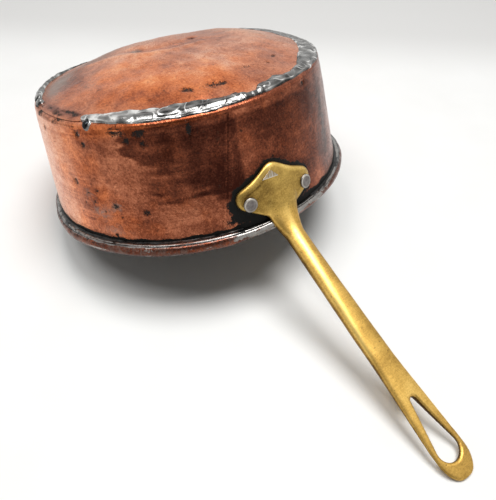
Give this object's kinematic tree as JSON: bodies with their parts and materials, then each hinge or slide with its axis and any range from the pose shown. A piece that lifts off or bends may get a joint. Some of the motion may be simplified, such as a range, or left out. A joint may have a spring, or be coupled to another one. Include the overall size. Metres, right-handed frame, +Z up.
{
  "type": "saucepan",
  "caption": "Shallow tapered copper saucepan lying upside down, with domed soldered base, curled rim and long riveted brass handle.",
  "frame": {"origin": "on the table, under the middle of the box that holds the pot as it rests upside down on the far side of its rim and the tip of its handle", "axes": "+Z up from the table, +X the way the handle points, seen from above; the pot's own axis leans back by about 16 degrees from +Z in the XZ plane, base up"},
  "size_m": [0.3676, 0.2114, 0.1291],
  "materials": {
    "copper_wall": "worn, heat-darkened copper with scratches and pits",
    "copper_base": "dented orange-brown copper with black pits",
    "solder": "lumpy hand-wiped solder, shiny on the crests",
    "tin": "thin wiped tin, worn through in places",
    "iron": "plain drawn iron wire",
    "brass": "hand-polished cast brass, warm yellow, fine grain",
    "rivet_metal": "flat hammered heads, satin grey"
  },
  "bodies": {
    "root": {"body_wall": "copper_wall", "base_disc": "copper_base", "base_solder_seam": "solder", "base_solder_lump": "solder", "rim_wire": "iron", "rim_solder": "tin", "handle": "brass", "rivet_left": "rivet_metal", "rivet_right": "rivet_metal", "rivet_top": "rivet_metal"}
  },
  "joints": []
}
